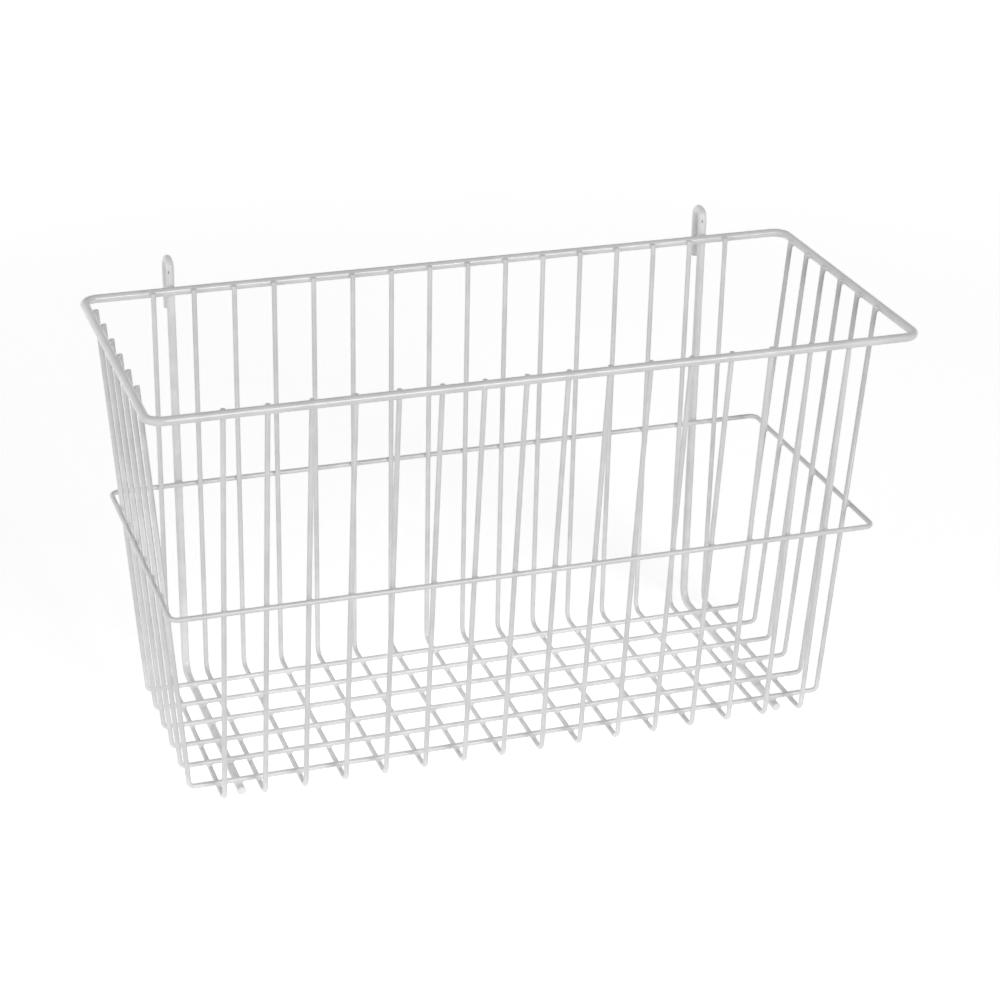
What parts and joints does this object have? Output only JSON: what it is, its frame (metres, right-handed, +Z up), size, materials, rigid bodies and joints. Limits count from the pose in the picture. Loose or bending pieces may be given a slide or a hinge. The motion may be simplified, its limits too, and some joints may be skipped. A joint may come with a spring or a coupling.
{
  "type": "hanging wire basket",
  "caption": "Open-topped basket of welded coated wire, with a leaning front and sides, a grid floor, a hoop at mid height and hooks at the back to hang it from a bar.",
  "frame": {"origin": "middle of the underside of the whole basket, hooks included, on the surface that it stands on", "axes": "+X along the basket's length to the right as seen from the front, +Y to the back where the hooks are, +Z up"},
  "size_m": [0.4414, 0.2056, 0.272],
  "materials": {
    "coated_wire": "satin off-white coat over steel wire, thicker at the welds"
  },
  "bodies": {
    "root": {"rim_frame": "coated_wire", "mid_hoop": "coated_wire", "cross_wire_01": "coated_wire", "cross_wire_02": "coated_wire", "cross_wire_03": "coated_wire", "cross_wire_04": "coated_wire", "cross_wire_05": "coated_wire", "cross_wire_06": "coated_wire", "cross_wire_07": "coated_wire", "cross_wire_08": "coated_wire", "cross_wire_09": "coated_wire", "cross_wire_10": "coated_wire", "cross_wire_11": "coated_wire", "cross_wire_12": "coated_wire", "cross_wire_13": "coated_wire", "cross_wire_14": "coated_wire", "cross_wire_15": "coated_wire", "cross_wire_16": "coated_wire", "long_wire_1": "coated_wire", "long_wire_2": "coated_wire", "long_wire_3": "coated_wire", "long_wire_4": "coated_wire", "long_wire_5": "coated_wire", "long_wire_6": "coated_wire", "hanger_left": "coated_wire", "hanger_right": "coated_wire"}
  },
  "joints": []
}
